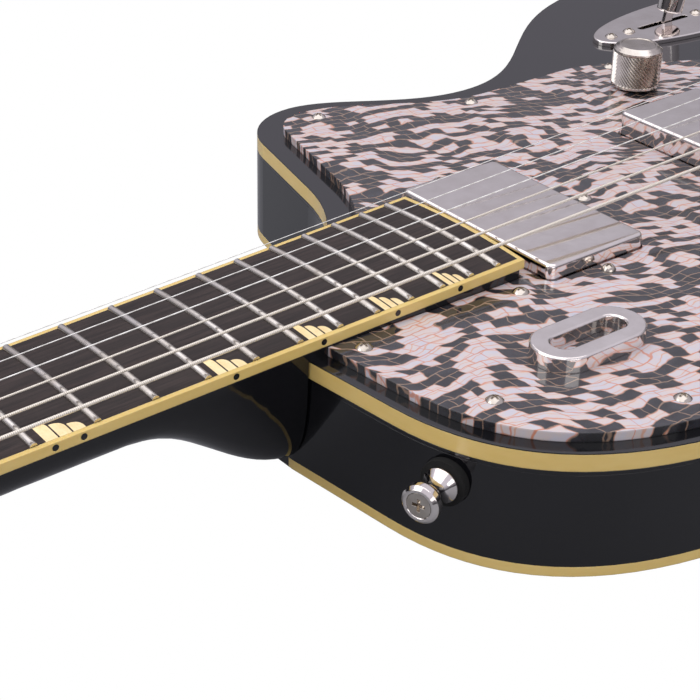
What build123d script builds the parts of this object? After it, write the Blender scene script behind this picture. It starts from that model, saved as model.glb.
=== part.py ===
from build123d import *
import math
import os

# A solid-body electric guitar. x = 0 is the bridge line and +x runs to the tail, +y is the treble
# side, z = 0 is the body's back and +z comes out of its face. Millimetres and degrees.

# ---- sizes of the whole instrument
SCALE_LENGTH = 648.0
NECK_ANGLE = 2.0
BODY_THICKNESS = 40.5
TOP_THICKNESS = 7.0
BOARD_RISE = 9.1
BOARD_RISE_X = -182.0
SEAT_CLEARANCE = 0.1
TURN_CLEARANCE = 0.08

# ---- body plan
TAIL_X = 195.0
LOWER_BOUT_X = 73.0
LOWER_BOUT_HALF = 169.8
LOWER_BOUT_RADIUS = 178.0
WAIST_X = -76.0
WAIST_HALF = 106.5
WAIST_RADIUS = 54.0
UPPER_BOUT_X = -137.0
UPPER_BOUT_HALF = 130.2
UPPER_BOUT_RADIUS = 60.0
SHOULDER_X = -255.6
SHOULDER_CORNER = (-251.8, -60.6)
SHOULDER_PULL = 73.0
SHOULDER_CORNER_PULL = 48.0
SHOULDER_FLAT_Y = -20.0
ROUND_PULL = 0.5523
HORN_X = -144.3
HORN_HALF = 131.1
HORN_RADIUS = 28.6
HORN_SWEEP = 76.0
CUTAWAY_LENGTH = 41.8
CUTAWAY_RADIUS = 75.9
NECK_SEAT_HALF = 26.0
BINDING_WIDTH = 1.8
TOP_BINDING_HEIGHT = 5.4
BACK_BINDING_HEIGHT = 3.3
BINDING_COVER = 0.4
HEEL_HALF = 18.0

# ---- neck and head
NUT_WIDTH = 43.0
BOARD_END_WIDTH = 57.5
BOARD_THICKNESS = 3.4
BOARD_CROWN = 1.0
BOARD_RADIUS = 305.0
BOARD_OVERHANG = 9.5
BOARD_BINDING = 1.6
FRET_COUNT = 22
FRET_WIDTH = 2.4
FRET_HEIGHT = 1.1
FRET_TANG = 0.6
FRET_TANG_DEPTH = 1.7
MARKED_FRETS = (3, 5, 7, 9, 12, 15, 17, 19, 21)
NUT_THICKNESS = 5.0
NUT_HEIGHT = 3.2
NECK_DEPTH_NUT = 14.6
NECK_DEPTH_HEEL = 17.2
HEEL_START_X = -314.0
HEEL_FOOT_X = -258.0
HEEL_BOTTOM = 0.5
HEEL_SWEEP = 1.3
HEEL_FULLNESS = 0.85
NECK_FULLNESS = 0.54
NECK_SIDE = 0.56
NAPE_DEPTH = 12.0
NAPE_REACH = 18.0
TENON_WIDTH = 38.0
TENON_DEPTH = 22.0
TENON_END_GAP = 2.0
HEAD_ANGLE = 10.0
HEAD_LENGTH = 182.0
HEAD_THICKNESS = 14.5
HEAD_HALF_THROAT = 36.0
HEAD_HALF_END = 41.0
ROD_RADIUS = 3.0
ROD_DEPTH = 7.0
ROD_LENGTH = 392.0

# ---- plates
GUARD_THICKNESS = 3.0
GUARD_INSET_BASS = 6.0
GUARD_INSET_CUTAWAY = 9.5
GUARD_INSET_WAIST = 12.5
GUARD_HORN_RADIUS = 15.0
GUARD_HORN_HALF = 119.2
GUARD_HORN_X = -148.0
GUARD_TAIL_X = 66.0
PLATE_START_X = 4.0
PLATE_LENGTH = 128.0
PLATE_WIDTH = 38.0
PLATE_SCREW_INSET = 8.0
CAVITY_INSET = 22.0
PLATE_THICKNESS = 2.0
PLATE_Y = 112.7

# ---- pickups
PICKUP_LENGTH = 72.0
PICKUP_WIDTH = 42.0
PICKUP_SHELL = 0.8
PICKUP_CORNER = 2.5
PICKUP_HEIGHT = 13.6
PICKUP_TO_BOARD = 4.3
NECK_PICKUP_TOP = 8.0
BRIDGE_PICKUP_X = -43.0
BRIDGE_PICKUP_TOP = 11.5

# ---- bridge and strings
STRING_DIAMETERS = (1.17, 0.91, 0.66, 0.43, 0.33, 0.26)
WOUND_COUNT = 3
STRING_SPREAD_NUT = 35.2
STRING_SPREAD_BRIDGE = 51.5
STRING_LIFT_NUT = 2.8
STRING_LIFT_BRIDGE = 5.0
BRIDGE_LENGTH = 88.0
BRIDGE_WIDTH = 13.0
BRIDGE_HEIGHT = 8.5
BRIDGE_POST_SPAN = 74.0
SADDLE_STAND = 3.2
TAILPIECE_X = 42.0
TAILPIECE_LENGTH = 98.0
TAILPIECE_WIDTH = 17.0
TAILPIECE_HEIGHT = 11.0
TAILPIECE_LIFT = 5.0
TAILPIECE_SPAN = 82.0

# ---- controls
VOLUME_X = -24.5
VOLUME_Y = 64.9
TONE_X = 96.0
KNOB_RADIUS = 9.5
KNOB_HEIGHT = 16.5
KNOB_GAP = 1.0
SHAFT_RADIUS = 3.0
POT_RADIUS = 12.0
POT_HEIGHT = 9.0
SWITCH_X = 43.7
SWITCH_SCREW_SPAN = 42.0
SWITCH_SLOT = 30.0
SWITCH_TIP_HEIGHT = 15.0

# ---- jack, strap buttons, small screws
JACK_BORE_RADIUS = 3.2
JACK_BORE_LENGTH = 12.0
CUP_RADIUS = 10.8
CUP_FLANGE_RADIUS = 12.3
CUP_DEPTH = 14.0
STRAP_HEAD_RADIUS = 5.8
STRAP_FOOT_RADIUS = 5.4
STRAP_WAIST_RADIUS = 3.6
STRAP_STAND = 13.0
STRAP_SHOULDER_PLACE = 0.87
STRAP_SHOULDER_Z = 25.0
STRAP_SCREW_RADIUS = 1.8
STRAP_SCREW_LENGTH = 25.0
FELT_RADIUS = 7.0
FELT_THICKNESS = 3.0
SPOT_FACE = 0.6
SCREW_HEAD_RADIUS = 2.7
SCREW_HEAD_HEIGHT = 1.3
SCREW_SHANK_RADIUS = 1.2
SCREW_LENGTH = 12.0

# ---- tuners
TUNER_PLACES = (-50.0, -92.0, -134.0)
TUNER_EDGE = 11.5
POST_RADIUS = 3.0
POST_HEIGHT = 12.0
WINDING_RADIUS = 4.1
WINDING_HEIGHT = 6.0
BUSHING_RADIUS = 4.9
TUNER_CASE = (15.0, 19.0, 10.5)
TUNER_BUTTON = (17.0, 12.0, 8.5)
TUNER_SHAFT_RADIUS = 2.0
STRING_GAP = 0.4

# ---- bridge details
SADDLE_SCREW_RADIUS = 1.4
SADDLE_SCREW_DROP = 3.6

# ---- switch and potentiometer details
POT_BUSH_DROP = 9.0
LEVER_PIVOT_DROP = 9.0
LEVER_HALF_THICKNESS = 0.8
LEVER_HALF_WIDTH = 2.4
SWITCH_SLOT_HALF = 1.5
LEVER_LEAN = 12.0

# ---- tuner detail
TUNER_NECK = 5.5

# ---- cover of the rod
COVER_THICKNESS = 2.0
COVER_LENGTH = 46.0
COVER_SCREWS = ((-12.0, 9.5), (-12.0, -9.5), (-46.0, 0.0))

# ---- inlays and side dots
INLAY_GAP = 0.5
INLAY_SHARE = 0.74
INLAY_FALL = 3.2
INLAY_DEPTH = 1.0
INLAY_LENGTHS = (8.8, 6.3, 4.0)
OCTAVE_DOT_OFFSET = 4.3
DOT_RADIUS = 1.0
DOT_DEPTH = 0.9
DOT_DROP = 1.7

# ---- ornament
ORNAMENT_PLACE = (-188.0, -72.0)
ORNAMENT_SIZE = (40.0, 20.0)
ORNAMENT_LIFT = 5.0
ORNAMENT_BAND = 6.0

# ---- jack detail
JACK_BUSH_RADIUS = 4.7
JACK_MOUTH = -CUP_DEPTH + 6.0

# ---- wheels and saddles
WHEEL_RADIUS = 7.0
WHEEL_THICKNESS = 2.2
SADDLE_WIDTH = 7.6
SADDLE_LENGTH = 7.0


def save(shape, node):
    export_step(shape, f"parts/{node}.step")


def post(x, y, z, radius, height):
    """An upright cylinder that starts at z."""
    return Pos(x, y, z) * Cylinder(radius, height, align=(Align.CENTER, Align.CENTER, Align.MIN))


def block(x0, x1, y0, y1, z0, z1):
    """A box between two corners."""
    return Pos((x0 + x1) / 2, (y0 + y1) / 2, (z0 + z1) / 2) * Box(x1 - x0, y1 - y0, z1 - z0)


def handle(offset, radius):
    """Length of a Bezier handle that gives this radius at a crest, for this change of width."""
    return math.sqrt(2 / 3 * abs(offset) * radius)


def s_curve(start, end, start_radius, end_radius):
    """A curve between two crests that both run along x, with the radius of each crest."""
    offset = end[1] - start[1]
    way = math.copysign(1, end[0] - start[0])
    lead = (start[0] + way * handle(offset, start_radius), start[1])
    follow = (end[0] - way * handle(offset, end_radius), end[1])
    return Bezier(start, lead, follow, end)


def along(point, angle, length):
    """The point that lies this far from another, in this direction."""
    turn = math.radians(angle)
    return (point[0] + length * math.cos(turn), point[1] + length * math.sin(turn))


def union(shapes):
    """One shape from several that touch or overlap."""
    whole = shapes[0]
    for shape in shapes[1:]:
        whole += shape
    return whole


# ------------------------------------------------------------------ frames of the neck and head
RISE_FROM_NUT = SCALE_LENGTH + BOARD_RISE_X
NECK_FRAME = (
    Pos(BOARD_RISE_X, 0, BODY_THICKNESS) * Rot(0, -NECK_ANGLE, 0) * Pos(-RISE_FROM_NUT, 0, BOARD_RISE)
)
HEAD_FRAME = NECK_FRAME * Pos(-NUT_THICKNESS, 0, -BOARD_THICKNESS) * Rot(0, -HEAD_ANGLE, 0)


def fret_place(number):
    """Distance of a fret from the nut."""
    return SCALE_LENGTH * (1 - 2 ** (-number / 12))


BOARD_LENGTH = fret_place(FRET_COUNT) + BOARD_OVERHANG


def board_half(place):
    """Half the fingerboard's width at a distance from the nut."""
    return (NUT_WIDTH + (BOARD_END_WIDTH - NUT_WIDTH) * place / BOARD_LENGTH) / 2


def board_plan(start, end, margin=0.0):
    """The fingerboard's tapered plan between two distances, this much wider on each side."""
    a = board_half(start) + margin
    b = board_half(end) + margin
    return make_face(Polyline((start, -a), (end, -b), (end, b), (start, a), close=True))


def place_of(x):
    """Distance from the nut of a place on the body."""
    return RISE_FROM_NUT + (x - BOARD_RISE_X) / math.cos(math.radians(NECK_ANGLE))


BOARD_END_X = BOARD_RISE_X + (BOARD_LENGTH - RISE_FROM_NUT) * math.cos(math.radians(NECK_ANGLE))


# ------------------------------------------------------------------ body plan
HORN_CENTRE = (HORN_X, HORN_HALF - HORN_RADIUS)
CUTAWAY_TOP = along(HORN_CENTRE, 90 + HORN_SWEEP, HORN_RADIUS)
CUTAWAY_WAY = 180 + HORN_SWEEP
CUTAWAY_FOOT = along(CUTAWAY_TOP, CUTAWAY_WAY, CUTAWAY_LENGTH)
CUTAWAY_CENTRE = along(CUTAWAY_FOOT, CUTAWAY_WAY - 90, CUTAWAY_RADIUS)


def cutaway_arc(radius, reach):
    """The arc at the foot of the cutaway, down to this distance from the centre line."""
    start = CUTAWAY_WAY + 90 - 360
    end = -math.degrees(math.asin((CUTAWAY_CENTRE[1] - reach) / radius))
    return CenterArc(CUTAWAY_CENTRE, radius, start, end - start)


SHOULDER_LEAN = math.degrees(
    math.atan2(SHOULDER_CORNER[1] - SHOULDER_FLAT_Y, SHOULDER_CORNER[0] - SHOULDER_X)
)


def shoulder_curve(corner, crest, pull, corner_pull):
    """The bass shoulder, from its front corner round to the upper bout."""
    return Bezier(corner, along(corner, SHOULDER_LEAN, corner_pull), (crest[0] - pull, crest[1]), crest)


def tail_curve(crest, tail_x):
    """A quarter of an oval, from the lower bout's crest to the middle of the tail."""
    along_x = ROUND_PULL * (tail_x - crest[0])
    along_y = ROUND_PULL * crest[1]
    return Bezier(crest, (crest[0] + along_x, crest[1]), (tail_x, along_y), (tail_x, 0))


def body_plan(inset=0.0):
    """The body's outline, or the same outline this far inside it."""
    lower = (LOWER_BOUT_X, LOWER_BOUT_HALF - inset)
    waist = (WAIST_X, WAIST_HALF - inset)
    horn = (HORN_X, HORN_HALF - inset)
    lower_bass = (LOWER_BOUT_X, -lower[1])
    waist_bass = (WAIST_X, -waist[1])
    upper_bass = (UPPER_BOUT_X, inset - UPPER_BOUT_HALF)
    corner = along(SHOULDER_CORNER, SHOULDER_LEAN + 90, inset)
    bout_radius = LOWER_BOUT_RADIUS - inset
    waist_radius = WAIST_RADIUS + inset
    upper_radius = UPPER_BOUT_RADIUS - inset
    pull = 0.7 * inset
    foot = cutaway_arc(CUTAWAY_RADIUS + inset, NECK_SEAT_HALF - inset)
    front_x = SHOULDER_X + inset
    front = Polyline(foot @ 1, (front_x, NECK_SEAT_HALF - inset), (front_x, SHOULDER_FLAT_Y), corner)
    edges = [
        tail_curve(lower_bass, TAIL_X - inset),
        mirror(tail_curve(lower_bass, TAIL_X - inset), Plane.XZ),
        s_curve(lower, waist, bout_radius, waist_radius),
        s_curve(waist, horn, waist_radius, HORN_RADIUS - inset),
        CenterArc(HORN_CENTRE, HORN_RADIUS - inset, 90, HORN_SWEEP),
        Line(along(HORN_CENTRE, 90 + HORN_SWEEP, HORN_RADIUS - inset), foot @ 0),
        foot,
        front,
        shoulder_curve(corner, upper_bass, SHOULDER_PULL - pull, SHOULDER_CORNER_PULL - pull),
        s_curve(upper_bass, waist_bass, upper_radius, waist_radius),
        s_curve(waist_bass, lower_bass, waist_radius, bout_radius),
    ]
    return make_face(Curve() + edges)


BODY_PLAN = body_plan()


NECK_GAP_X = (cutaway_arc(CUTAWAY_RADIUS, NECK_SEAT_HALF) @ 1).X


def rim(z, height):
    """The binding in its rebate at one edge of the body."""
    return Pos(0, 0, z) * extrude(BODY_PLAN - body_plan(BINDING_WIDTH), height)


# ------------------------------------------------------------------ screws and other repeated shapes
def cross_recess(radius, depth, z):
    """The cross cut in a screw's head, from z down."""
    arm = radius * 0.55
    blade = radius * 0.14
    long_way = block(-arm, arm, -blade, blade, z - depth, z + 1)
    return long_way + Rot(0, 0, 90) * long_way


def dome(radius, height, z=0.0):
    """A round head: a cap of a sphere that stands on z."""
    ball = (radius**2 + height**2) / (2 * height)
    cap = Pos(0, 0, z + height - ball) * Sphere(ball)
    return cap & post(0, 0, z, radius + 1, height + 1)


def small_screw():
    """A round-headed cross screw, with its head standing on z = 0 and its shank below."""
    head = dome(SCREW_HEAD_RADIUS, SCREW_HEAD_HEIGHT) - cross_recess(
        SCREW_HEAD_RADIUS, SCREW_HEAD_HEIGHT * 0.6, SCREW_HEAD_HEIGHT
    )
    return head + post(0, 0, -SCREW_LENGTH, SCREW_SHANK_RADIUS, SCREW_LENGTH)


def screw_hole(x, y, z):
    """The clear hole for a small screw whose head stands on z."""
    return post(x, y, z - SCREW_LENGTH - 0.5, SCREW_SHANK_RADIUS + SEAT_CLEARANCE, SCREW_LENGTH + 2)


# ------------------------------------------------------------------ heights
FACE = BODY_THICKNESS
GUARD_TOP = FACE + GUARD_THICKNESS
PLATE_TOP = FACE + PLATE_THICKNESS
MIDDLE = BODY_THICKNESS / 2


def board_height(x):
    """Height of the fingerboard's plane over a place on the body."""
    return FACE + BOARD_RISE + (x - BOARD_RISE_X) * math.tan(math.radians(NECK_ANGLE))


STRING_TOP = board_height(0) + STRING_LIFT_BRIDGE


# ------------------------------------------------------------------ pickguard
def guard_plan():
    """The pickguard's outline, before the neck and the pickups are cut out of it."""
    inner = CUTAWAY_RADIUS + GUARD_INSET_CUTAWAY
    foot = cutaway_arc(inner, NECK_SEAT_HALF)
    side = along(CUTAWAY_FOOT, CUTAWAY_WAY + 90, GUARD_INSET_CUTAWAY)
    horn = (GUARD_HORN_X, GUARD_HORN_HALF)
    horn_centre = (GUARD_HORN_X, GUARD_HORN_HALF - GUARD_HORN_RADIUS)
    horn_end = along(horn_centre, 90 + HORN_SWEEP, GUARD_HORN_RADIUS)
    waist = (WAIST_X, WAIST_HALF - GUARD_INSET_WAIST)
    waist_end = (WAIST_X + 40, waist[1])
    knee = (WAIST_X + 82, waist[1] - 16.8)
    hip = (GUARD_TAIL_X - 26, waist[1] - 32)
    tail = (GUARD_TAIL_X, 0)
    waist_bass = (WAIST_X, GUARD_INSET_BASS - WAIST_HALF)
    upper_bass = (UPPER_BOUT_X, GUARD_INSET_BASS - UPPER_BOUT_HALF)
    corner = (SHOULDER_CORNER[0] + GUARD_INSET_BASS, SHOULDER_CORNER[1])
    flat = (SHOULDER_X + GUARD_INSET_BASS, SHOULDER_FLAT_Y)
    knee_bass = (knee[0], -knee[1])
    hip_bass = (hip[0], -hip[1])
    edges = [
        foot,
        Line(foot @ 0, side),
        Line(side, horn_end),
        CenterArc(horn_centre, GUARD_HORN_RADIUS, 90 + HORN_SWEEP, -HORN_SWEEP),
        Bezier(horn, (horn[0] + 24, horn[1]), (waist[0] - 30, waist[1]), waist),
        Line(waist, waist_end),
        Bezier(waist_end, (waist_end[0] + 16, waist_end[1]), along(knee, 150, 18), knee),
        Bezier(knee, along(knee, -30, 12), along(hip, 157, 13), hip),
        Bezier(hip, along(hip, -23, 14), (tail[0], 30), tail),
        Bezier(tail, (tail[0], -30), along(hip_bass, 23, 14), hip_bass),
        Bezier(hip_bass, along(hip_bass, 203, 13), along(knee_bass, 30, 12), knee_bass),
        Bezier(knee_bass, along(knee_bass, 210, 18), (waist_bass[0] + 40, waist_bass[1]), waist_bass),
        s_curve(waist_bass, upper_bass, WAIST_RADIUS, UPPER_BOUT_RADIUS),
        shoulder_curve(corner, upper_bass, SHOULDER_PULL - 3, SHOULDER_CORNER_PULL - 3),
        Polyline(corner, flat, ((foot @ 1).X, NECK_SEAT_HALF)),
    ]
    return make_face(Curve() + edges)


NECK_PICKUP_X = BOARD_END_X + PICKUP_TO_BOARD + PICKUP_WIDTH / 2
PICKUPS = ((NECK_PICKUP_X, NECK_PICKUP_TOP), (BRIDGE_PICKUP_X, BRIDGE_PICKUP_TOP))
PICKUP_SCREW_Y = PICKUP_LENGTH / 2 + 4.7
PICKUP_SCREW_RADIUS = 1.1
EAR_HALF = PICKUP_SCREW_Y + 3.5
PICKUP_BASE = 1.4
PICKUP_OPENING = 0.6
GUARD_SCREWS = (
    (-144.4, 112.0), (-87.9, 90.0), (-16.5, 86.0), (-180.0, -35.5), (-240.6, -34.0), (-230.1, -78.2),
    (-187.3, -108.5), (-115.2, 2.0), (-130.0, -118.0), (-76.0, -95.5), (-10.0, -80.0), (58.0, 18.0),
    (58.0, -18.0),
)
PLATE_END_X = PLATE_START_X + PLATE_LENGTH
PLATE_SCREWS = ((PLATE_START_X + PLATE_SCREW_INSET, PLATE_Y), (PLATE_END_X - PLATE_SCREW_INSET, PLATE_Y))
BRIDGE_SITES = ((0.0, BRIDGE_POST_SPAN / 2), (0.0, -BRIDGE_POST_SPAN / 2))
TAILPIECE_SITES = ((TAILPIECE_X, TAILPIECE_SPAN / 2), (TAILPIECE_X, -TAILPIECE_SPAN / 2))
STUD_RADIUS = 2.5
INSERT_RADIUS = 5.5
INSERT_DEPTH = 18.0
TAIL_STUD_RADIUS = 4.0
POT_BUSH_RADIUS = 4.7


def make_pickguard():
    plate = Pos(0, 0, FACE) * extrude(guard_plan(), GUARD_THICKNESS)
    slot_plan = board_plan(place_of(SHOULDER_X) - 20, BOARD_LENGTH, SEAT_CLEARANCE)
    slot = NECK_FRAME * Pos(0, 0, -40) * extrude(slot_plan, 80)
    plate -= slot
    for x, _ in PICKUPS:
        half_x = PICKUP_WIDTH / 2 + PICKUP_OPENING
        half_y = PICKUP_LENGTH / 2 + PICKUP_OPENING
        window = RectangleRounded(2 * half_x, 2 * half_y, PICKUP_CORNER + PICKUP_OPENING)
        plate -= Pos(x, 0, FACE - 1) * extrude(window, GUARD_THICKNESS + 2)
        for y in (PICKUP_SCREW_Y, -PICKUP_SCREW_Y):
            plate -= post(x, y, FACE - 1, PICKUP_SCREW_RADIUS + 0.2, GUARD_THICKNESS + 2)
    for x, y in GUARD_SCREWS:
        plate -= screw_hole(x, y, GUARD_TOP)
    for x, y in BRIDGE_SITES:
        plate -= post(x, y, FACE - 1, INSERT_RADIUS + 0.5, GUARD_THICKNESS + 2)
    for x, y in TAILPIECE_SITES:
        plate -= post(x, y, FACE - 1, INSERT_RADIUS + 0.5, GUARD_THICKNESS + 2)
    plate -= post(VOLUME_X, VOLUME_Y, FACE - 1, POT_BUSH_RADIUS + SEAT_CLEARANCE, GUARD_THICKNESS + 2)
    return plate


# ------------------------------------------------------------------ body
CAVITY_X = (PLATE_START_X + CAVITY_INSET, PLATE_END_X - CAVITY_INSET)
CAVITY_HALF = 13.5
CAVITY_FLOOR = 6.0
PICKUP_CAVITY_DEPTH = 16.0
VOLUME_CAVITY_RADIUS = POT_RADIUS + 3
VOLUME_CAVITY_FLOOR = 15.0
WIRE_WAY = 5.0
POCKET_END_X = BOARD_END_X - TENON_END_GAP
POCKET_FLOOR = FACE - TENON_DEPTH
JACK_FACE_Y = LOWER_BOUT_HALF - SPOT_FACE


def shoulder_seat():
    """The place of the shoulder strap button: a point on the rim, its outward way and its turn."""
    upper_bass = (UPPER_BOUT_X, -UPPER_BOUT_HALF)
    curve = shoulder_curve(SHOULDER_CORNER, upper_bass, SHOULDER_PULL, SHOULDER_CORNER_PULL)
    spot = curve @ (1 - STRAP_SHOULDER_PLACE)
    way = curve % (1 - STRAP_SHOULDER_PLACE)
    return spot, math.degrees(math.atan2(-way.X, way.Y))


def strap_frames():
    """Frames on the rim whose z axis points straight out of the body."""
    spot, turn = shoulder_seat()
    shoulder = Pos(spot.X, spot.Y, STRAP_SHOULDER_Z) * Rot(0, 0, turn) * Rot(0, 90, 0)
    tail = Pos(TAIL_X, 0, MIDDLE) * Rot(0, 90, 0)
    return (shoulder * Pos(0, 0, -SPOT_FACE), tail * Pos(0, 0, -SPOT_FACE))


JACK_FRAME = Pos(LOWER_BOUT_X, JACK_FACE_Y, MIDDLE) * Rot(-90, 0, 0)


def cavities():
    """Everything that is routed or drilled in the body, from below its floor to above its face."""
    cuts = []
    for x, _ in PICKUPS:
        half_x = PICKUP_WIDTH / 2 + 1.0
        half_y = EAR_HALF + 1.5
        window = RectangleRounded(2 * half_x, 2 * half_y, 3)
        cuts.append(Pos(x, 0, FACE - PICKUP_CAVITY_DEPTH) * extrude(window, PICKUP_CAVITY_DEPTH + 1))
    cuts.append(post(VOLUME_X, VOLUME_Y, VOLUME_CAVITY_FLOOR, VOLUME_CAVITY_RADIUS, FACE))
    control = RectangleRounded(CAVITY_X[1] - CAVITY_X[0], 2 * CAVITY_HALF, CAVITY_HALF - 1)
    control_x = (CAVITY_X[0] + CAVITY_X[1]) / 2
    cuts.append(Pos(control_x, PLATE_Y, CAVITY_FLOOR) * extrude(control, FACE))
    bracket_reach = SWITCH_SCREW_SPAN / 2 + 4.5
    cuts.append(
        block(SWITCH_X - bracket_reach, SWITCH_X, PLATE_Y - 6, PLATE_Y + 6, FACE - 8, FACE + 1)
    )
    way_z = VOLUME_CAVITY_FLOOR + 1
    cuts.append(block(NECK_PICKUP_X, BRIDGE_PICKUP_X, 20, 20 + WIRE_WAY, FACE - 15, FACE - 15 + WIRE_WAY))
    cuts.append(
        block(BRIDGE_PICKUP_X, BRIDGE_PICKUP_X + WIRE_WAY, 30, VOLUME_Y, FACE - 15, FACE - 15 + WIRE_WAY)
    )
    cuts.append(
        block(VOLUME_X, CAVITY_X[0] + 12, VOLUME_Y, VOLUME_Y + WIRE_WAY, way_z, way_z + WIRE_WAY)
    )
    cuts.append(
        block(CAVITY_X[0] + 12, CAVITY_X[0] + 12 + WIRE_WAY, VOLUME_Y, PLATE_Y, way_z, way_z + WIRE_WAY)
    )
    half = TENON_WIDTH / 2 + SEAT_CLEARANCE
    cuts.append(block(SHOULDER_X - 1, POCKET_END_X, -half, half, POCKET_FLOOR, FACE + 1))
    for x, y in BRIDGE_SITES + TAILPIECE_SITES:
        cuts.append(post(x, y, FACE - INSERT_DEPTH, INSERT_RADIUS, INSERT_DEPTH + 1))
    for x, y in GUARD_SCREWS:
        cuts.append(screw_hole(x, y, GUARD_TOP))
    for x, y in PLATE_SCREWS:
        cuts.append(screw_hole(x, y, PLATE_TOP))
    for frame in strap_frames():
        cuts.append(frame * post(0, 0, 0, FELT_RADIUS + SEAT_CLEARANCE, 5))
        cuts.append(frame * post(0, 0, -26, STRAP_SCREW_RADIUS + SEAT_CLEARANCE, 30))
    cuts.append(JACK_FRAME * post(0, 0, 0, CUP_FLANGE_RADIUS + SEAT_CLEARANCE, 5))
    reach = JACK_FACE_Y - PLATE_Y
    cuts.append(JACK_FRAME * post(0, 0, -reach, CUP_RADIUS + SEAT_CLEARANCE, reach + 1))
    return cuts


def make_body():
    seam = BODY_THICKNESS - TOP_THICKNESS
    core = extrude(BODY_PLAN, seam)
    top = Pos(0, 0, seam) * extrude(BODY_PLAN, TOP_THICKNESS)
    top_rim = rim(FACE - BINDING_COVER - TOP_BINDING_HEIGHT, TOP_BINDING_HEIGHT)
    back_rim = rim(0, BACK_BINDING_HEIGHT)
    gap_end = NECK_SEAT_HALF + 1
    top_rim -= block(SHOULDER_X - 1, NECK_GAP_X, -NECK_SEAT_HALF, gap_end, MIDDLE, FACE + 1)
    back_rim -= block(SHOULDER_X - 1, NECK_GAP_X, -HEEL_HALF, HEEL_HALF, -1, MIDDLE)
    core -= back_rim
    top -= top_rim
    for cut in cavities():
        core -= cut
        top -= cut
    return core, top, top_rim, back_rim


# ------------------------------------------------------------------ neck
def neck_section(place, depth, sweep=0.0):
    """The neck's section under the fingerboard: round on the neck, squarer as it turns into the heel."""
    half = board_half(max(place, 0))
    side = (NECK_SIDE + (HEEL_FULLNESS - NECK_SIDE) * sweep) * depth
    fullness = NECK_FULLNESS + (HEEL_FULLNESS - NECK_FULLNESS) * sweep
    keel = fullness * half
    right = Bezier((half, 0), (half, -side), (keel, -depth), (0, -depth))
    left = Bezier((0, -depth), (-keel, -depth), (-half, -side), (-half, 0))
    plane = Plane((place, 0, -BOARD_THICKNESS), x_dir=(0, 1, 0), z_dir=(1, 0, 0))
    return plane * make_face(Curve() + [right, left, Line((-half, 0), (half, 0))])


def neck_depth(place):
    """Depth of wood under the fingerboard: an even taper, then the sweep down into the heel."""
    start = place_of(HEEL_START_X)
    foot = place_of(HEEL_FOOT_X)
    depth = NECK_DEPTH_NUT + (NECK_DEPTH_HEEL - NECK_DEPTH_NUT) * min(place / start, 1)
    sweep = min(max((place - start) / (foot - start), 0), 1)
    full = board_height(HEEL_FOOT_X) - BOARD_THICKNESS - HEEL_BOTTOM
    return depth + (full - depth) * (sweep**2 * (3 - 2 * sweep)) ** HEEL_SWEEP


def head_plan():
    half = NUT_WIDTH / 2
    throat = (-42.0, HEAD_HALF_THROAT)
    end = (-150.0, HEAD_HALF_END)
    tip = (-HEAD_LENGTH, 0)
    flare = [
        Line((3, half), (-8, half)),
        Bezier((-8, half), (-22, half), (throat[0] + 16, throat[1] - 2), throat),
        Line(throat, end),
        Bezier(end, (end[0] - 20, end[1] + 1), (-HEAD_LENGTH - 1, end[1] - 16), (-HEAD_LENGTH + 4, 14)),
        Bezier((-HEAD_LENGTH + 4, 14), (-HEAD_LENGTH + 8, 6), (tip[0] + 6, 3), (tip[0] + 6, 0)),
    ]
    lower = [mirror(edge, Plane.XZ) for edge in flare]
    return make_face(Curve() + flare + lower + [Line((3, -half), (3, half))])


def head_half(place):
    """Half the head's width beside a tuner."""
    share = (place + 42.0) / (-150.0 + 42.0)
    return HEAD_HALF_THROAT + (HEAD_HALF_END - HEAD_HALF_THROAT) * share


def tuner_sites():
    """Places of the posts on the head, from the low string round to the high one."""
    bass = [(place, TUNER_EDGE - head_half(place), -1) for place in TUNER_PLACES]
    treble = [(place, head_half(place) - TUNER_EDGE, 1) for place in reversed(TUNER_PLACES)]
    return bass + treble


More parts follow.
